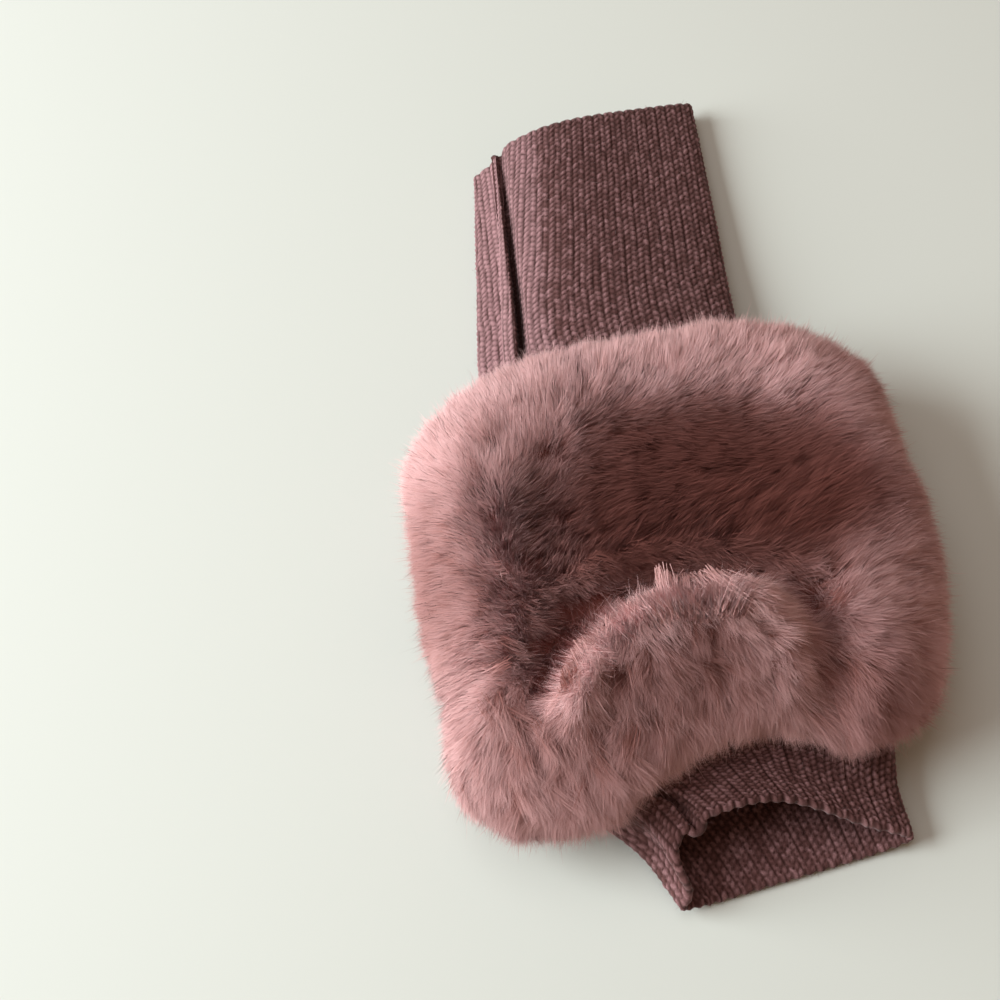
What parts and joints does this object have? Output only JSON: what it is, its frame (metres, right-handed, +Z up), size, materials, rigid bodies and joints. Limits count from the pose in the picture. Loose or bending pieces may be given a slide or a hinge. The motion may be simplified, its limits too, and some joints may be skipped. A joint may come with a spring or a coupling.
{
  "type": "faux fur fingerless glove",
  "caption": "Knitted fingerless glove with a long ribbed wrist cuff, a thumb hole in the palm and a deep faux fur panel over the back of the hand, lying palm down.",
  "frame": {"origin": "middle of the footprint of the lying glove, on the surface that it lies on", "axes": "+Y runs from the finger opening to the wrist end, +X to the thumb side, +Z up from the palm to the fur"},
  "size_m": [0.1418, 0.2364, 0.052],
  "materials": {
    "ribbed_knit": "wool blend rib knit in dusty mauve pink, matt, two-ply yarn with soft fuzz",
    "plain_knit": "wool blend plain knit in dusty mauve pink, matt, two-ply yarn with soft fuzz",
    "faux_fur": "deep faux fur pile in dusty rose, soft sheen, paler at the tips"
  },
  "bodies": {
    "root": {"wrist_cuff": "ribbed_knit", "hand_body": "plain_knit", "finger_cuff": "ribbed_knit", "thumb_rim": "plain_knit", "fur_panel": "faux_fur"}
  },
  "joints": []
}
